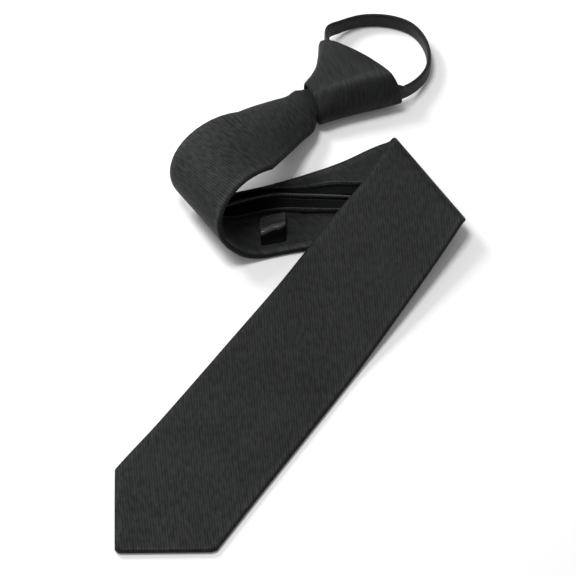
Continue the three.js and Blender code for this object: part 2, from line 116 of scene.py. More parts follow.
BLADE_ROWS = {
    "at": [0, 0.08, 0.14, 0.28, 0.43, 0.5, 0.57, 0.62, 0.7, 0.78, 0.83, 0.87, 0.905, 0.921, 0.933, 0.96],
    "width": [
        1, 0.99, 0.97, 0.945, 0.905, 0.86, 0.81, 0.74, 0.645, 0.65, 0.635, 0.56, 0.45, 0.4, 0.28, 0.28,
    ],
    "swing": [0, 0, -0.01, -0.012, -0.01, -0.01, 0.05, 0.02, 0, 0, 0, 0, -0.02, -0.035, 0, 0],
    "crown": [0, 0, 0, 0, 0, 0, 0, 0, 0, 0, 0.02, 0.04, 0.06, 0.06, 0.05, 0.05],
}
TAIL_ROWS = {
    "at": [0.56, 0.616, 0.634, 0.654, 0.674, 0.702, 0.74, 0.78, 0.88, 0.92],
    "off": [-0.4, 0.11, 0.31, 0.52, 0.72, 0.98, 0.95, 0.72, 0.12, 0],
    "left": [1, 1.08, 1, 0.62, 0.36, 0.36, 0.4, 0.5, 0.75, 0.78],
    "right": [1, 1.04, 1.12, 1.17, 1.2, 1.22, 1.1, 0.95, 0.8, 0.78],
    "puff": [0.5, 0.9, 1, 1, 1, 1, 1, 1, 0.4, 0],
}
KNOT_ROWS = {
    "at": [0, 0.25, 0.5, 0.8, 1],
    "left": [0, 0.1, 0.28, 0.68, 1],
    "right": [0, 0.22, 0.47, 0.8, 1],
    "front": [0, 0.35, 0.68, 0.95, 1],
}
# Where the front of the knot rises across it, from its left side to its right one
KNOT_FRONT = {
    "across": [-1, -0.97, -0.88, -0.7, -0.4, 0, 0.25, 0.4, 0.5, 0.6, 0.7, 0.82, 0.92, 0.98, 1],
    "rise": [0, 0.3, 0.54, 0.68, 0.8, 0.91, 0.97, 1, 0.98, 0.9, 0.78, 0.6, 0.4, 0.2, 0],
}
LOOP_ROWS = [
    (0.08, -0.94, 0.35), (0.3, -0.97, 0.8), (0.6, -0.85, 1), (0.86, -0.53, 1), (0.99, -0.18, 1),
    (0.99, 0.16, 1), (0.9, 0.48, 1), (0.73, 0.74, 1), (0.48, 0.88, 0.8), (0.22, 0.9, 0.4),
]
KEEPER_ROWS = {
    "at": [0, 0.05, 0.13, 0.26, 0.42, 0.56, 0.66, 0.73, 0.8, 0.88, 0.95, 1],
    "rise": [0, 0.1, 0.6, 0.72, 0.8, 0.93, 1.12, 1.12, 0.8, 0.3, 0.05, 0],
}
# How far the keeper's crest wanders along its width, from its right end to its left one
KEEPER_CREST = {
    "at": [-1, -0.8, -0.45, -0.1, 0.25, 0.6, 1],
    "shift": [-0.12, -0.08, -0.04, -0.045, -0.02, 0.03, 0.05],
}
# Painted light on the blade, column by column: a painted highlight along its edges, painted shade on their
# rounded sides, painted light and shade along its length, and how much more painted light there is towards
# its right edge
EDGE_LIGHT_SHADE = {
    "at": [0, 0.1, 0.25, 0.45, 0.52, 0.58, 0.64, 0.7, 0.76, 0.82, 0.86, 0.9, 0.928, 0.935, 1],
    "edge_highlight": [0.6, 0.6, 0.6, 0.6, 0.8, 1.6, 2, 2, 1.8, 1, 0.5, 0.3, 0.2, 0, 0],
    "side": [0.7, 0.7, 0.7, 0.7, 0.6, 0.3, 0.25, 0.25, 0.35, 0.6, 0.8, 0.8, 0.8, 0.8, 0.8],
    "along": [1.15, 1.08, 0.9, 0.83, 0.85, 0.95, 0.95, 0.85, 1, 1.25, 1.3, 1.05, 0.8, 0.35, 0.35],
    "lean": [0, 0, 0, 0, 0.1, 0.3, 0.3, 0.2, 0, -0.1, -0.15, -0.1, 0, 0, 0],
}
# Painted light along the tail's strips and coil: a little lighter, then painted shadow where they run in
# under the roll
STRIP_LIGHT_SHADE = {"at": [0.55, 0.68, 0.69, 0.7, 0.71, 1], "painted_light": [1.1, 1.1, 0.8, 0.3, 0.05, 0.05]}
# Painted light across the knot's front: a painted highlight along its left edge and its ridge, painted shade
# on its steep near side
KNOT_LIGHT_SHADE = {
    "across": [-1, -0.9, -0.2, 0.28, 0.38, 0.48, 0.6, 0.7, 0.9, 1],
    "painted_light": [1.7, 1.35, 1.05, 1.2, 1.95, 1.8, 1, 0.85, 0.85, 0.95],
}
KNOT_WEAVE = rad(40)
# Where across the knot its ridge lies, from its narrow end to its wide one
KNOT_RIDGE = {"at": [0, 0.3, 0.65, 1], "across": [0.05, 0.35, 0.55, 0.68]}
# Each bend's place along the blade, skew, radius in millimetres, turn in degrees, and share of spare turn
FRONT_BENDS = [(0.63, -20.5, 100.0, 7.0, 0), (0.549, -20.5, 4.0, 173.0, 1), (0.35, -20.5, 180.0, 0.0, -1)]
KNOT_BENDS = [(0.738, 23.0, 19.2, 56.0, 0), (0.782, 12.2, 11.6, 184.0, 0), (0.783, 3.6, 21.4, -60.0, 0)]


def table(rows, column, at):
    """A column's smooth value at places along it: cubic between rows, flat past both ends."""
    xs = np.array(rows["at"], float)
    ys = np.array(rows[column], float)
    n = len(xs)
    after, before = np.minimum(np.arange(n) + 1, n - 1), np.maximum(np.arange(n) - 1, 0)
    slopes = (ys[after] - ys[before]) / (xs[after] - xs[before])
    at = np.clip(np.asarray(at, float), xs[0], xs[-1])
    i = np.clip(np.searchsorted(xs, at, side="right") - 1, 0, n - 2)
    span = xs[i + 1] - xs[i]
    t = (at - xs[i]) / span
    ease = t * t * (3 - 2 * t)
    bow = t * (1 - t) * span * ((1 - t) * slopes[i] - t * slopes[i + 1])
    return ys[i] + (ys[i + 1] - ys[i]) * ease + bow


# The flat strip bent round its lines, as the cloth lies
def bends_of(rows, away, more):
    """Each bend as its place, its skew, its radius with a sign, and its length. more is spare turn."""
    out = []
    for at, skew, radius, turn, extra in rows:
        turned = rad(turn + extra * more)
        place = away * (at * BLADE_LENGTH - FLAT_SPOT)
        out.append((place, rad(skew), radius * np.sign(turned), radius * abs(turned)))
    return out


def run_chain(chain, u, v, h):
    """Bends a flat place round each line of the chain, the farthest first."""
    u0, v0 = np.asarray(u, float), np.asarray(v, float)
    u, v, h = u0.copy(), v0.copy(), np.asarray(h, float)
    for at, skew, radius, length in reversed(chain):
        if length == 0:
            continue
        c, s = math.cos(skew), math.sin(skew)
        turned = np.clip((u0 - at) * c + v0 * s, 0, length)
        along = (u - at) * c + v * s
        across = v * c - (u - at) * s
        angle = turned / radius
        beyond = along - turned
        height = h - radius
        new_along = beyond * np.cos(angle) - height * np.sin(angle)
        new_height = radius + beyond * np.sin(angle) + height * np.cos(angle)
        bent = turned > 0
        u = np.where(bent, at + new_along * c - across * s, u)
        v = np.where(bent, new_along * s + across * c, v)
        h = np.where(bent, new_height, h)
    return u, v, h


def settled_front():
    """The front's bends, with the fold's turn set so that the blade comes down level."""
    low, high = 0.0, 30.0
    for _ in range(40):
        middle = (low + high) / 2
        if run_chain(bends_of(FRONT_BENDS, -1, middle), FLAT_SPOT, 0.0, 0.0)[2] > 0:
            low = middle
        else:
            high = middle
    return bends_of(FRONT_BENDS, -1, (low + high) / 2)


FRONT_CHAIN = settled_front()
KNOT_CHAIN = bends_of(KNOT_BENDS, 1, 0)
KNOTWARD = np.array([math.cos(HEADING), math.sin(HEADING), 0])
RIGHTWARD = np.array([-math.sin(HEADING), math.cos(HEADING), 0])


def bent_place(s, v, h):
    """Where a point lies once both runs are bent, before the knot's end is brought down level."""
    s, v, h = np.broadcast_arrays(np.asarray(s, float), np.asarray(v, float), np.asarray(h, float))
    u1, v1, h1 = run_chain(KNOT_CHAIN, np.maximum(s - FLAT_SPOT, 0), v, h)
    u2, v2, h2 = run_chain(FRONT_CHAIN, np.maximum(FLAT_SPOT - s, 0), v, h)
    knot = s >= FLAT_SPOT
    u, v, h = np.where(knot, u1, -u2), np.where(knot, v1, v2), np.where(knot, h1, h2)
    place = u[..., None] * KNOTWARD + v[..., None] * RIGHTWARD
    place[..., 2] += h + THICK / 2
    return place


PIVOT = bent_place(DROP_TO * BLADE_LENGTH, 0.0, 0.0)
LINING = bent_place(DROP_TO * BLADE_LENGTH, 0.0, 1.0) - PIVOT
DOWN = np.array([0, 0, -1.0])
LEVEL_AXIS = np.cross(LINING, DOWN)
LEVEL_ANGLE = math.atan2(np.linalg.norm(LEVEL_AXIS), float(LINING @ DOWN))
LEVEL_AXIS = LEVEL_AXIS / np.linalg.norm(LEVEL_AXIS)
DROP = PIVOT[2] - KNOT_BACK


def lay_raw(s, v, h):
    """The same, with the knot's end turned level and brought down, in millimetres."""
    place = bent_place(s, v, h)
    s = np.broadcast_to(np.asarray(s, float), place.shape[:-1])
    share = (s / BLADE_LENGTH - DROP_FROM) / (DROP_TO - DROP_FROM)
    x = np.clip(share, 0, 1)
    ease = (x * x * (3 - 2 * x))[..., None]
    away = place - PIVOT
    angle = ease * LEVEL_ANGLE
    turned = (
        away * np.cos(angle)
        + np.cross(LEVEL_AXIS, away) * np.sin(angle)
        + LEVEL_AXIS * (away @ LEVEL_AXIS)[..., None] * (1 - np.cos(angle))
    )
    moved = PIVOT + turned + np.array([0, DROP_BACK, -1]) * DROP * ease
    return np.where((share > 0)[..., None], moved, place)


# The plain slider block in the knot lies where its solid does, which gives the frame's place
def slider_corners():
    low, high = THICK / 2 + CLEAR, THICK / 2 + CLEAR + SLIDER_THICK
    start = TAIL_END + CLEAR
    s = np.array([start, start + SLIDER_LENGTH])[:, None, None]
    v = np.array([-SLIDER_WIDTH, SLIDER_WIDTH])[None, :, None] / 2
    h = np.array([low, high])[None, None, :]
    return lay_raw(s, v, h).reshape(-1, 3)


SHIFT = np.array(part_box("zip_slider")[0]) * 1000 - slider_corners().min(0)


def lay(s, v, h):
    """The laid-down place, in metres, of a point s from the blade's point, v to the right, h to the back."""
    return (lay_raw(s, v, h) + SHIFT) / 1000


# Lines across the strip that turn with the bends
def bend_lines(chain, sign):
    lines = []
    for at, skew, radius, length in chain:
        span = length / math.cos(skew)
        lines += [(FLAT_SPOT + sign * u, -sign * math.tan(skew)) for u in (at, at + span)]
    return lines


LINES = sorted(
    [(LEFT_SHOULDER, 0.0), (KNOT_END, 0.0)] + bend_lines(FRONT_CHAIN, -1) + bend_lines(KNOT_CHAIN, 1)
)


def line_slope(s):
    return np.interp(s, [at for at, _ in LINES], [slope for _, slope in LINES])


def zones():
    """Where the strip bends: from, to, and how tightly."""
    out = []
    for chain, sign in ((FRONT_CHAIN, -1), (KNOT_CHAIN, 1)):
        for at, skew, radius, length in chain:
            ends = sorted((FLAT_SPOT + sign * at, FLAT_SPOT + sign * (at + length / math.cos(skew))))
            out.append((ends[0], ends[1], abs(radius)))
    return out


def stations(start, end, flat=2.4, step_deg=7.0):
    """Places along the strip: close together in the bends."""
    places = [start]
    known = zones()
    while places[-1] < end - 1e-9:
        s = places[-1]
        step = flat
        for low, high, radius in known:
            if low - flat < s < high:
                step = min(step, radius * rad(step_deg))
        places.append(min(s + max(step, 0.35), end))
    return np.array(places)


def on_line(s, slope, edge):
    """Where a slanting line across the strip meets an edge."""
    v = edge(s)
    for _ in range(5):
        v = edge(s + slope * v)
    return v


# Mesh making
def mesh_object(name, points, faces, uvs, material, painted_light=None):
    """A smooth mesh. Its per-point factor scales the cloth's colour: a painted highlight where above 1,
    painted shade where below 1.
    """
    mesh = bpy.data.meshes.new(name)
    mesh.from_pydata([tuple(p) for p in points], [], faces)
    # A per-point factor on the colour: painted light and shade
    painted_tone = mesh.attributes.new("painted_light", "FLOAT", "POINT")
    painted_light = np.ones(len(points)) if painted_light is None else painted_light
    painted_tone.data.foreach_set("value", painted_light.astype(np.float32))
    layer = mesh.uv_layers.new(name="cloth")
    loop_uv = []
    for poly in mesh.polygons:
        for k in poly.vertices:
            loop_uv.append(uvs[k])
    layer.data.foreach_set("uv", np.array(loop_uv, np.float32).ravel())
    mesh.materials.append(material)
    mesh.validate()
    obj = bpy.data.objects.new(name, mesh)
    scene.collection.objects.link(obj)
    mesh.polygons.foreach_set("use_smooth", [True] * len(mesh.polygons))
    mesh.update()
    return obj


def rings_object(name, rings, uvs, material, painted_light=None, closed=False, ends=True):
    """Skin over a row of closed rings: rings is (n, m, 3), uvs is (n, m, 2)."""
    n, m = rings.shape[:2]
    faces = []
    for i in range(n if closed else n - 1):
        j = (i + 1) % n
        for k in range(m):
            q = (k + 1) % m
            faces.append((i * m + k, i * m + q, j * m + q, j * m + k))
    if ends and not closed:
        faces.append(tuple(range(m))[::-1])
        faces.append(tuple((n - 1) * m + k for k in range(m)))
    painted_tone = None if painted_light is None else np.array(painted_light, float).ravel()
    obj = mesh_object(name, rings.reshape(-1, 3), faces, uvs.reshape(-1, 2), material, painted_tone)
    outward(obj)
    return obj


def outward(obj):
    mesh = obj.data
    co = np.zeros(len(mesh.vertices) * 3)
    mesh.vertices.foreach_get("co", co)
    co = co.reshape(-1, 3)
    mesh.calc_loop_triangles()
    tri = np.zeros(len(mesh.loop_triangles) * 3, int)
    mesh.loop_triangles.foreach_get("vertices", tri)
    a, b, c = (co[tri.reshape(-1, 3)[:, k]] for k in range(3))
    if np.einsum("ij,ij->", a, np.cross(b, c)) < 0:
        mesh.flip_normals()


def ripple(s, v, seed, scale):
    """Gentle unevenness, from -1 to 1."""
    rng = np.random.default_rng(seed)
    out = 0
    for _ in range(5):
        direction, phase = rng.uniform(0, 2 * math.pi), rng.uniform(0, 2 * math.pi)
        rate = 2 * math.pi / (scale * rng.uniform(0.6, 1.6))
        out = out + np.sin(rate * (s * math.cos(direction) + v * math.sin(direction)) + phase)
    return out / 5


# Materials
def new_material(name):
    material = bpy.data.materials.new(name)
    material.use_nodes = True
    tree = material.node_tree
    shader = next(n for n in tree.nodes if n.type == "BSDF_PRINCIPLED")
    return material, tree, shader


def node(tree, kind, **values):
    made = tree.nodes.new(kind)
    for key, value in values.items():
        if key in made.inputs:
            made.inputs[key].default_value = value
        else:
            setattr(made, key, value)
    return made


def ramp(tree, source, stops):
    """Colours (red, green, blue) at places from 0 to 1."""
    made = tree.nodes.new("ShaderNodeValToRGB")
    for element, (at, colour) in zip(made.color_ramp.elements, stops):
        element.position = at
        element.color = (*colour, 1)
    tree.links.new(source, made.inputs["Fac"])
    return made.outputs["Color"]


# Shares of the short threads and of the broad unevenness in the weave, and where its colours start and end
THREAD_SHARE, BROAD_SHARE = 0.76, 0.22
DARK_STOP, LIGHT_STOP = 0.34, 0.68


def cloth_material(name, dark, light, rib, rib_angle, bump, roughness, specular, sheen):
    """Woven cloth: ribs over the cloth's own lengths, broken up into short threads, with uneven colour."""
    material, tree, shader = new_material(name)
    links = tree.links
    place = node(tree, "ShaderNodeUVMap", uv_map="cloth")
    turned = node(tree, "ShaderNodeMapping", Rotation=(0, 0, rib_angle))
    links.new(place.outputs["UV"], turned.inputs["Vector"])
    ribs = node(tree, "ShaderNodeTexWave", wave_type="BANDS", bands_direction="X", Scale=math.pi / 10 / rib)
    ribs.inputs["Distortion"].default_value = 1.1
    ribs.inputs["Detail"].default_value = 2.0
    ribs.inputs["Detail Scale"].default_value = 2.5
    links.new(turned.outputs["Vector"], ribs.inputs["Vector"])
    short = node(tree, "ShaderNodeMapping", Scale=(1.0, 0.4, 1))
    links.new(turned.outputs["Vector"], short.inputs["Vector"])
    threads = node(tree, "ShaderNodeTexNoise", Scale=0.75 / rib, Detail=2.0, Roughness=0.55)
    links.new(short.outputs["Vector"], threads.inputs["Vector"])
    broad = node(tree, "ShaderNodeTexNoise", Scale=0.04, Detail=3.0)
    links.new(place.outputs["UV"], broad.inputs["Vector"])
    weave = node(tree, "ShaderNodeMix", data_type="FLOAT")
    weave.inputs[0].default_value = THREAD_SHARE
    links.new(ribs.outputs["Fac"], weave.inputs[2])
    links.new(threads.outputs["Fac"], weave.inputs[3])
    both = node(tree, "ShaderNodeMix", data_type="FLOAT")
    both.inputs[0].default_value = BROAD_SHARE
    links.new(weave.outputs[0], both.inputs[2])
    links.new(broad.outputs["Fac"], both.inputs[3])
    # Each point's colour is scaled by its painted light: painted highlights above 1, painted shade below 1
    painted_light = node(tree, "ShaderNodeAttribute", attribute_name="painted_light")
    painted_tone = node(tree, "ShaderNodeVectorMath", operation="SCALE")
    links.new(ramp(tree, both.outputs[0], [(DARK_STOP, dark), (LIGHT_STOP, light)]), painted_tone.inputs[0])
    links.new(painted_light.outputs["Fac"], painted_tone.inputs["Scale"])
    links.new(painted_tone.outputs["Vector"], shader.inputs["Base Color"])
    bumps = node(tree, "ShaderNodeBump", Strength=bump, Distance=0.0004)
    links.new(weave.outputs[0], bumps.inputs["Height"])
    links.new(bumps.outputs["Normal"], shader.inputs["Normal"])
    shader.inputs["Roughness"].default_value = roughness
    shader.inputs["Specular IOR Level"].default_value = specular
    shader.inputs["Sheen Weight"].default_value = sheen
    shader.inputs["Sheen Roughness"].default_value = 0.35
    shader.inputs["Sheen Tint"].default_value = (0.86, 0.9, 0.89, 1)
    return material


TWILL = cloth_material(
    "tie_twill", (0.0012, 0.0015, 0.0014), (0.0162, 0.0182, 0.0172),
    rib=1.35, rib_angle=rad(0), bump=0.5, roughness=0.74, specular=0.2, sheen=0.05)
BAND_CLOTH = cloth_material(
    "band_twill", (0.002, 0.0025, 0.0023), (0.0115, 0.0128, 0.0122),
    rib=0.9, rib_angle=rad(-80), bump=0.4, roughness=0.65, specular=0.22, sheen=0.07)
# The folded edges' cloth: the tie's cloth made lighter, a painted highlight on the strips' ridges
FOLDED_HIGHLIGHT = cloth_material(
    "folded_edge_painted_highlight", (0.01, 0.011, 0.0107), (0.036, 0.039, 0.038),
    rib=0.7, rib_angle=rad(-60), bump=0.3, roughness=0.6, specular=0.22, sheen=0.08)
# Dark tape: the zip's own tape, made darker as painted shade in the strips' dished middles, and used as
# painted shade on the keeper's near face
TAPE_AND_SHADE = cloth_material(
    "zip_tape_and_painted_shade", (0.001, 0.0012, 0.0011), (0.004, 0.0045, 0.0043),
    rib=0.6, rib_angle=rad(0), bump=0.4, roughness=0.85, specular=0.06, sheen=0.0)
SATIN = cloth_material(
    "black_satin", (0.003, 0.0034, 0.0035), (0.0085, 0.0094, 0.0095),
    rib=0.35, rib_angle=rad(90), bump=0.1, roughness=0.3, specular=0.5, sheen=0.0)
TEETH = cloth_material(
    "zip_coil", (0.008, 0.0085, 0.0085), (0.026, 0.028, 0.0275),
    rib=0.5, rib_angle=rad(0), bump=0.4, roughness=0.45, specular=0.4, sheen=0.05)


# Blade
def blade_edges(s):
    """Left and right edge across the blade, in millimetres from its middle line."""
    half = lambda at: BLADE_WIDTH * table(BLADE_ROWS, "width", at / BLADE_LENGTH) / 2
    swing = BLADE_WIDTH * table(BLADE_ROWS, "swing", s / BLADE_LENGTH)
    to_left, to_right = np.minimum(s / LEFT_SHOULDER, 1), np.minimum(s / RIGHT_SHOULDER, 1)
    left = -POINT_OFFSET + (POINT_OFFSET - half(s - KNOT_END_SLANT)) * to_left - swing
    right = -POINT_OFFSET + (POINT_OFFSET + half(s + KNOT_END_SLANT)) * to_right - swing / 3
    return left, right


# The ribs' direction in degrees, and lengths along the cloth as it really lies
WEAVE_ROWS = {"at": [0, 0.56, 0.82, 1], "angle": [48, 48, 15, 20]}
WEAVE_S = np.linspace(-20, BLADE_LENGTH + 20, 541)
WEAVE_ANGLE = np.radians(table(WEAVE_ROWS, "angle", WEAVE_S / BLADE_LENGTH))
WEAVE_STEP = np.linalg.norm(np.gradient(lay_raw(WEAVE_S, 0.0, -THICK / 2), axis=0), axis=1)
WEAVE_ALONG = np.cumsum(np.cos(WEAVE_ANGLE) * WEAVE_STEP)
WEAVE_BESIDE = np.cumsum(np.sin(WEAVE_ANGLE) * WEAVE_STEP)


def weave_place(s, v, back):
    """Where a point of the blade lies in its cloth, measured across and along the ribs, in millimetres."""
    angle = np.interp(s, WEAVE_S, WEAVE_ANGLE)
    across = np.interp(s, WEAVE_S, WEAVE_ALONG) + v * np.sin(angle)
    along = -np.interp(s, WEAVE_S, WEAVE_BESIDE) + v * np.cos(angle)
    return np.stack([across, along + back * 900], -1)


def blade_object():
    near = np.linspace(POINT_ROUND, LEFT_SHOULDER, 16)
    places = np.concatenate([near, stations(LEFT_SHOULDER, BLADE_END)[1:]])
    thick = THICK / 2
    edge_count = 5
    # Where the rim's rows lie from the edge, in millimetres, and how much of the painted edge highlight each
    # takes
    rim, rim_highlight_share = np.array([0, 0.9, 2.0]), np.array([0.7, 1, 0.5])
    inner_from = 3.4
    rings, uvs, painted_light = [], [], []
    for s in places:
        slope = float(line_slope(s))
        right = float(on_line(s, slope, lambda at: blade_edges(at)[1])) - thick
        left = float(on_line(s, slope, lambda at: blade_edges(at)[0])) + thick
        middle, half = (left + right) / 2, (right - left) / 2 + thick
        crown = BLADE_WIDTH * float(table(BLADE_ROWS, "crown", s / BLADE_LENGTH))
        angles = np.linspace(0, math.pi, edge_count + 2)[1:-1]
        fit = min(1, (right - left) / 12)
        inner = np.linspace(right - inner_from * fit, left + inner_from * fit, 23)
        across = np.concatenate([right - rim * fit, inner, left + rim[::-1] * fit])
        flat_count = len(across)
        out, round_h = thick * np.sin(angles), thick * np.cos(angles)
        level = np.full(flat_count, thick)
        v = np.concatenate([across, left - out, across[::-1], right + out])
        h = np.concatenate([level, round_h, -level, -round_h])
        at = s + slope * v
        x = (v - middle) / half
        back, upper = h > thick * 0.99, h > 0
        seam = np.exp(-((v - middle) / 0.9) ** 2) * 0.7 - np.exp(-((v - middle - 2.2) / 1.6) ** 2) * 0.25
        puff = 0.25 * ripple(at, v, 3, 46) * (1 - x**4)
        h = h - np.where(back, seam, 0) + np.where(back, 1, -1) * puff - crown * (1 - x**2)
        rings.append(lay(at, v, h))
        uvs.append(weave_place(at, v, upper))
        # Painted light: a painted highlight on the edge rows, painted shade on the rounded sides, and
        # painted light along and across the blade
        share = s / BLADE_LENGTH
        edge_highlight = float(table(EDGE_LIGHT_SHADE, "edge_highlight", share))
        flats = np.ones(flat_count)
        flats[:3] = 1 + edge_highlight * rim_highlight_share
        flats[-3:] = flats[:3][::-1]
        side = np.full(edge_count, float(table(EDGE_LIGHT_SHADE, "side", share)))
        along, lean = (float(table(EDGE_LIGHT_SHADE, row, share)) for row in ("along", "lean"))
        painted_light.append(np.concatenate([flats, side, flats, side]) * along * (1 + lean * x))
    return rings_object("blade_cloth", np.array(rings), np.array(uvs), TWILL, painted_light)


# Tail strips
def tail_middle(s):
    return -TAIL_OFFSET * table(TAIL_ROWS, "off", s / BLADE_LENGTH)


def strip_wide(side, s):
    return STRIP_WIDTH * table(TAIL_ROWS, "left" if side < 0 else "right", s / BLADE_LENGTH)


def on_back_object(name, start, end, middle, width, section, material, flat=1.6):
    """A strip on the blade's back: section is (across from -1 to 1, height) at a place."""
    rings, uvs, painted_light = [], [], []
    low = THICK / 2 + CLEAR
    for s in stations(start, end, flat):
        slope = float(line_slope(s))
        centre = float(on_line(s, slope, middle))
        half = float(width(s)) / 2
        x, h = section(s)
        v = centre + x * half
        at = s + slope * v
        rings.append(lay(at, v, low + h))
        uvs.append(np.stack([at, v + h], -1))
        # Painted light: a little lighter, then painted shadow where the tail runs in under the roll
        painted_light.append(np.interp(s / BLADE_LENGTH, STRIP_LIGHT_SHADE["at"], STRIP_LIGHT_SHADE["painted_light"]) + 0 * v)
    return rings_object(name, np.array(rings), np.array(uvs), material, painted_light)


# Points round a strip's section, and the span of them that is low tape
STRIP_RING, TAPE_FROM, TAPE_TO = 21, 5, 14


def strip_section(side):
    """A flat tape with a soft ridge along the strip's outer edge, where its cloth is folded over."""
    top = np.array([1, 0.97, 0.9, 0.82, 0.72, 0.62, 0.4, 0.1, -0.2, -0.5, -0.68, -0.78, -0.88, -0.96, -1])
    rise = np.array([0.5, 0.95, 1.32, 1.42, 1.2, 0.6, 0.32, 0.27, 0.27, 0.28, 0.3, 0.3, 0.3, 0.26, 0.15])
    under = np.array([-0.93, -0.6, -0.2, 0.2, 0.6, 0.93])
    across = np.concatenate([top, under]) * side
    height = np.concatenate([rise, [0.04, 0, 0, 0, 0, 0.12]])

    def section(s):
        puff = float(table(TAIL_ROWS, "puff", s / BLADE_LENGTH))
        level = np.where(height > 1, 1 + (height - 1) * puff, height)
        wave = 0.16 * ripple(s + 0 * across, across * 3 + side * 9, 8, 24) * (height > 0.9)
        return across, STRIP_THICK * level + wave
    return section


def strip_object(side, name):
    """Cloth folded over the strip's outer edge, lighter than the tie's cloth as a painted highlight, with
    tape beside it that is dark partly of itself and partly as painted shade.
    """
    wide = lambda s: strip_wide(side, s)
    middle = lambda s: tail_middle(s) + side * (BESIDE_CHAIN + wide(s) / 2)
    strip = on_back_object(name, TAIL_START, TAIL_END, middle, wide, strip_section(side), FOLDED_HIGHLIGHT)
    # The tape between the ridge and the coil takes the dark tape material, darker partly as painted shade
    strip.data.materials.append(TAPE_AND_SHADE)
    for poly in strip.data.polygons:
        places = [k % STRIP_RING for k in poly.vertices]
        if len(places) == 4 and min(places) >= TAPE_FROM and max(places) <= TAPE_TO:
            poly.material_index = 1
    return strip


def zip_object():
    """The closed coil between the tapes, with a notch for each tooth."""
    across = np.array([1, 0.75, 0.35, 0, -0.35, -0.75, -1, -0.6, 0, 0.6])
    rise = np.array([0.35, 1.05, 1.4, 1.5, 1.4, 1.05, 0.35, 0.03, 0, 0.03])
    notch = lambda s: 0.14 * (math.sin(s * 2 * math.pi / TOOTH_PITCH) > 0)
    section = lambda s: (across, CHAIN_THICK * rise * (1 - notch(s)))
    wide = lambda s: CHAIN_WIDTH + 0 * s
    return on_back_object("zip_teeth", TAIL_START + CLEAR, TAIL_END, tail_middle, wide, section, TEETH, 0.75)


def slider_object():
    """A plain block with rounded corners, narrower at one end."""
    bottom = THICK / 2 + CLEAR
    start = TAIL_END + CLEAR
    rings, uvs = [], []
    for share in np.linspace(0, 1, 9):
        s = start + SLIDER_LENGTH * share
        wide = SLIDER_WIDTH / 2 * (1 - 0.35 * share**2)
        angles = np.linspace(0, 2 * math.pi, 24, endpoint=False)
        c, d = np.cos(angles), np.sin(angles)
        v = wide * np.sign(c) * np.abs(c) ** 0.4
        h = bottom + SLIDER_THICK / 2 * (1 + np.sign(d) * np.abs(d) ** 0.4)
        rings.append(lay(s, v, h))
        uvs.append(np.stack([s + 0 * v, v], -1))
    return rings_object("zip_slider_body", np.array(rings), np.array(uvs), TEETH)


# Keeper
def keeper_object():
    """A satin arch beside the tail, with a soft wavy crest before it goes down to its near foot, a painted
    highlight on the crest and painted shade on its near face.
    """
    beside = float(tail_middle(KEEPER_PLACE)) + BESIDE_CHAIN + float(strip_wide(1, KEEPER_PLACE))
    left = beside + KEEPER_GAP
    foot = THICK / 2 + CLEAR + KEEPER_THICK / 2
    centre = left + KEEPER_LENGTH / 2
    share = np.linspace(0, 1, 73)
    v = left + share * KEEPER_LENGTH
    thick = KEEPER_THICK / 2
    rings, uvs, painted_light, dark = [], [], [], []
    for t in np.linspace(-1, 1, 31):
        s = KEEPER_PLACE + t * KEEPER_WIDTH / 2
        edge = thick * math.sqrt(max(0.05, 1 - abs(t) ** 6))
        shift = float(table(KEEPER_CREST, "shift", t))
        moved = share - shift * np.clip(share * (1 - share) * 5, 0, 1)
        up = table(KEEPER_ROWS, "rise", np.clip(moved, 0, 1))
        crest = 0.4 * np.exp(-((share - 0.7 - shift) / 0.05) ** 2)
        soft = 0.1 * ripple(s + 0 * v, v, 12, 6)
        spine = foot + up * KEEPER_RISE + (crest + soft) * np.clip(up, 0, 1)
        normal = np.stack([-np.gradient(spine, v), np.ones_like(v)], -1)
        normal /= np.linalg.norm(normal, axis=1)[:, None]
        top_v, top_h = v + normal[:, 0] * edge, spine + normal[:, 1] * edge
        low_v, low_h = v - normal[:, 0] * edge, spine - normal[:, 1] * edge
        vv, hh = np.concatenate([top_v, low_v[::-1]]), np.concatenate([top_h, low_h[::-1]])
        rings.append(lay(s + KEEPER_LEAN * (vv - centre), vv, hh))
        uvs.append(np.stack([s + 0 * vv, np.concatenate([v, v[::-1] + 60])], -1))
        # Painted light on the keeper: lighter on top, a painted highlight on the crest, and painted shade on
        # the near face
        near = np.clip((share - 0.74 - shift) / 0.05, 0, 1)
        painted_crest_light = 2.2 - 1.8 * near + 4.5 * np.exp(-((share - 0.69 - shift) / 0.045) ** 2)
        painted_light.append(np.concatenate([painted_crest_light, painted_crest_light[::-1]]))
        dark.append(near)
    keeper = rings_object("keeper_satin", np.array(rings), np.array(uvs), SATIN, painted_light)
    # The near face takes the dark tape material as painted shade
    keeper.data.materials.append(TAPE_AND_SHADE)
    ring = 2 * len(share)
    for poly in keeper.data.polygons:
        corners = [divmod(k, ring) for k in poly.vertices]
        if len(corners) == 4 and all(k < len(share) and dark[i][k] > 0.2 for i, k in corners):
            poly.material_index = 1
    return keeper


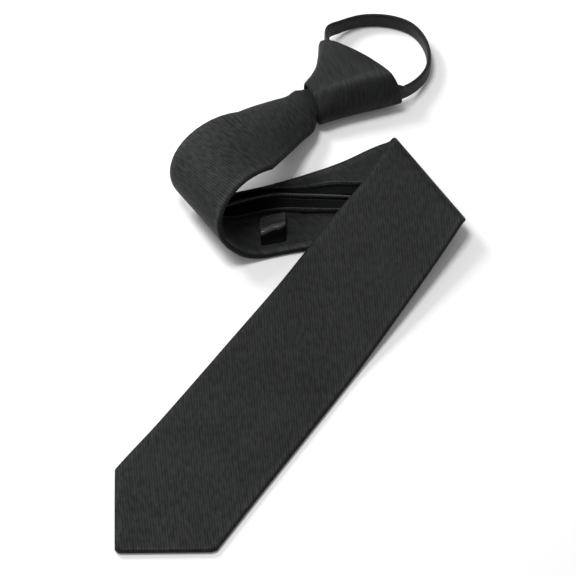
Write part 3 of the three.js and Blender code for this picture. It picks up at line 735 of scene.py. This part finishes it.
# Knot
def knot_ring(at, inset, count):
    """One ring of the knot: a flat back, and a front with a broad panel, a soft ridge and a steep side."""
    ease = lambda column: float(table(KNOT_ROWS, column, at))
    narrow = KNOT_END_WIDTH / 2
    left = narrow + ease("left") * (KNOT_TOP_LEFT - narrow) - inset
    right = narrow + ease("right") * (KNOT_TOP_RIGHT - narrow) - inset
    front = KNOT_END_FRONT + ease("front") * (KNOT_TOP_FRONT - KNOT_END_FRONT) - inset
    back = KNOT_END_BACK + at * (KNOT_BACK - KNOT_END_BACK) - inset
    angle = np.linspace(0, 2 * math.pi, count, endpoint=False)
    c, d = np.cos(angle), np.sin(angle)
    x = np.sign(c) * np.abs(c) ** (2 / 2.7)
    v = x * np.where(c > 0, right, left)
    round_front = np.abs(d) ** (2 / 2.8)
    ridge = float(table(KNOT_RIDGE, "across", at))
    front_x = np.interp(x, [-1, ridge, 1], [-1, 0.5, 1])
    shaped = np.interp(front_x, KNOT_FRONT["across"], KNOT_FRONT["rise"])
    h = np.where(d > 0, back * np.abs(d) ** (2 / 2.8), -front * (0.25 * round_front + 0.75 * shaped))
    top = KNOT_TOP_SLANT * x + KNOT_TOP_DOME * (1 - x**2)
    # Painted light on the front: a painted highlight along the left edge and the ridge, painted shade on the
    # steep near side
    painted_tone = np.where(d < 0, np.interp(front_x, KNOT_LIGHT_SHADE["across"], KNOT_LIGHT_SHADE["painted_light"]), 1)
    return KNOT_END + at * KNOT_LENGTH + at * top - (1 - at) * KNOT_END_SLANT * x, v, h, painted_tone


def knot_object():
    """The wrap's outside, its rounded rims and its inside, as one closed skin."""
    count = 200
    rim = WRAP_WALL / 2
    body = np.linspace(0, 1, 60)
    rounds = np.linspace(0, math.pi, 9)[1:-1]
    rows = [(at, 0.0, 0.0) for at in body]
    rows += [(1, rim * (1 - math.cos(a)), rim * math.sin(a)) for a in rounds]
    rows += [(at, WRAP_WALL, 0.0) for at in body[::-1]]
    rows += [(0, rim * (1 + math.cos(a)), -rim * math.sin(a)) for a in rounds]
    c, d = math.cos(KNOT_WEAVE), math.sin(KNOT_WEAVE)
    rings, uvs, painted_light = [], [], []
    for at, inset, out in rows:
        s, v, h, painted_tone = knot_ring(at, inset, count)
        # The inside and the rim at the narrow end painted darker, as painted shade
        painted_light.append(painted_tone * (0.3 if out < 0 or inset > rim else 1))
        around = np.concatenate([[0], np.cumsum(np.hypot(np.diff(v), np.diff(h)))])
        if inset < rim:
            outwards = np.stack([np.gradient(h), -np.gradient(v)], -1)
            outwards /= np.linalg.norm(outwards, axis=1)[:, None] + 1e-9
            soft = 0.22 * ripple(s, around, 21, 17) + 0.1 * ripple(s, around, 5, 7)
            v, h = v - outwards[:, 0] * soft, h - outwards[:, 1] * soft
        rings.append(lay(s + out, v, h))
        uvs.append(np.stack([s * c + around * d, around * c - s * d], -1))
    return rings_object("knot_cloth", np.array(rings), np.array(uvs), TWILL, painted_light, closed=True)


# Neck band
def catmull(points, count):
    """Centripetal Catmull-Rom curve through the points, with as many places between each two."""
    points = np.array(points, float)
    ends = [2 * points[0] - points[1]], [2 * points[-1] - points[-2]]
    p = np.concatenate([ends[0], points, ends[1]])
    out = []
    for i in range(1, len(p) - 2):
        d = [max(np.linalg.norm(p[i + k][:3] - p[i + k - 1][:3]) ** 0.5, 1e-4) for k in (0, 1, 2)]
        a, b, e, f = p[i - 1], p[i], p[i + 1], p[i + 2]
        d1 = ((b - a) / d[0] - (e - a) / (d[0] + d[1]) + (e - b) / d[1]) * d[1]
        d2 = ((e - b) / d[1] - (f - b) / (d[1] + d[2]) + (f - e) / d[2]) * d[1]
        t = np.linspace(0, 1, count, endpoint=False)[:, None]
        c2, c3 = -3 * b + 3 * e - 2 * d1 - d2, 2 * b - 2 * e + d1 + d2
        out.append(b + d1 * t + c2 * t**2 + c3 * t**3)
    out.append(p[-2][None])
    return np.concatenate(out)


def band_path():
    """Places along the band: one leg up out of the knot, round the loop, and down the other leg."""
    flat_height = THICK / 2 + CLEAR + BAND_THICK / 2
    mouth_height = -BAND_WIDTH * 0.28
    surface_height = KNOT_BACK - BAND_WIDTH / 2
    leg_end = TAIL_END + SLIDER_LENGTH + CLEAR - BLADE_LENGTH
    inner = CLEAR + BAND_WIDTH / 2
    spare = WRAP_WALL + BAND_THICK / 2 + 2 * CLEAR + 0.24 * BAND_WIDTH
    outer = {-1: KNOT_TOP_LEFT - spare, 1: KNOT_TOP_RIGHT - spare}

    def leg(side):
        rows = []
        across = side * outer[side] / (KNOT_TOP_LEFT if side < 0 else KNOT_TOP_RIGHT)
        mouth_out = KNOT_TOP_SLANT * across + KNOT_TOP_DOME * (1 - across**2)
        for share, lie in ((0, 1), (0.25, 1), (0.5, 0.72), (0.78, 0.25), (1, 0)):
            v = side * (inner + (outer[side] - inner) * share**1.6)
            h = mouth_height + (flat_height - mouth_height) * lie**0.7
            rows.append((leg_end + (mouth_out - leg_end) * share, v, h, lie))
        return rows

    loop = [
        (out * LOOP_REACH, side * LOOP_WIDTH / 2 - LOOP_OFFSET,
         mouth_height + (surface_height - mouth_height) * down, 0)
        for out, side, down in LOOP_ROWS
    ]
    return leg(-1) + loop + leg(1)[::-1]


def band_object():
    """The band on its edge round the loop, turned flat where its legs lie in the knot."""
    path = catmull(band_path(), 14)
    centre, lie = path[:, :3], path[:, 3]
    along = np.gradient(centre, axis=0)
    along /= np.linalg.norm(along, axis=1)[:, None]
    length = np.concatenate([[0], np.cumsum(np.linalg.norm(np.diff(centre, axis=0), axis=1))])
    up = np.array([0, 0, 1.0])
    count = 36
    angles = np.linspace(0, 2 * math.pi, count, endpoint=False)
    c, d = np.cos(angles), np.sin(angles)
    x = BAND_WIDTH / 2 * np.sign(c) * np.abs(c) ** 0.55
    y = BAND_THICK / 2 * np.sign(d) * np.abs(d) ** 0.7
    rings, uvs = [], []
    for k in range(len(centre)):
        aside = np.cross(along[k], up)
        aside /= np.linalg.norm(aside)
        turn = min(max(lie[k], 0), 1) * math.pi / 2
        across = up * math.cos(turn) + aside * math.sin(turn)
        across -= along[k] * (across @ along[k])
        across /= np.linalg.norm(across)
        through = np.cross(along[k], across)
        q = centre[k] + x[:, None] * across + y[:, None] * through
        rings.append(lay(BLADE_LENGTH + q[:, 0], q[:, 1], q[:, 2]))
        uvs.append(np.stack([length[k] + 0 * x, x + (y < 0) * 40], -1))
    return rings_object("band_cloth", np.array(rings), np.array(uvs), BAND_CLOTH)


pieces = {
    "blade": (blade_object(), "tie_cloth"),
    "knot_wrap": (knot_object(), "tie_cloth"),
    "neck_band": (band_object(), "tie_cloth"),
    "tail_strip_left": (strip_object(-1, "strip_left_cloth"), "tie_cloth"),
    "tail_strip_right": (strip_object(1, "strip_right_cloth"), "tie_cloth"),
    "zip_chain": (zip_object(), "zip"),
    "zip_slider": (slider_object(), "zip"),
    "keeper_loop": (keeper_object(), "satin"),
}
for name, (piece, slot) in pieces.items():
    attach(piece, "root")
    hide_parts(name)


# Floor and light
def floor_object():
    material, tree, shader = new_material("pale_floor")
    shader.inputs["Base Color"].default_value = (0.86, 0.86, 0.86, 1)
    shader.inputs["Roughness"].default_value = 0.9
    bpy.ops.mesh.primitive_plane_add(size=12, location=(0, 0, 0))
    floor = bpy.context.object
    floor.name = "floor"
    floor.data.materials.append(material)
    return floor


def softbox(name, place, size, power, target=(0, 0, 0)):
    data = bpy.data.lights.new(name, "AREA")
    data.shape = "RECTANGLE"
    data.size, data.size_y = size
    data.energy = power
    light = bpy.data.objects.new(name, data)
    light.location = place
    light.rotation_euler = (Vector(target) - Vector(place)).to_track_quat("-Z", "Y").to_euler()
    scene.collection.objects.link(light)
    return light


floor_object()
softbox("key", (-0.35, 0.2, 1.7), (0.5, 0.5), 17)
softbox("side", (-0.42, 0.4, 0.5), (0.25, 0.25), 4)
world = bpy.data.worlds.new("studio")
world.use_nodes = True
background = next(n for n in world.node_tree.nodes if n.type == "BACKGROUND")
background.inputs["Color"].default_value = (1, 1, 1, 1)
background.inputs["Strength"].default_value = 0.42
scene.world = world
scene.view_settings.view_transform = "Standard"
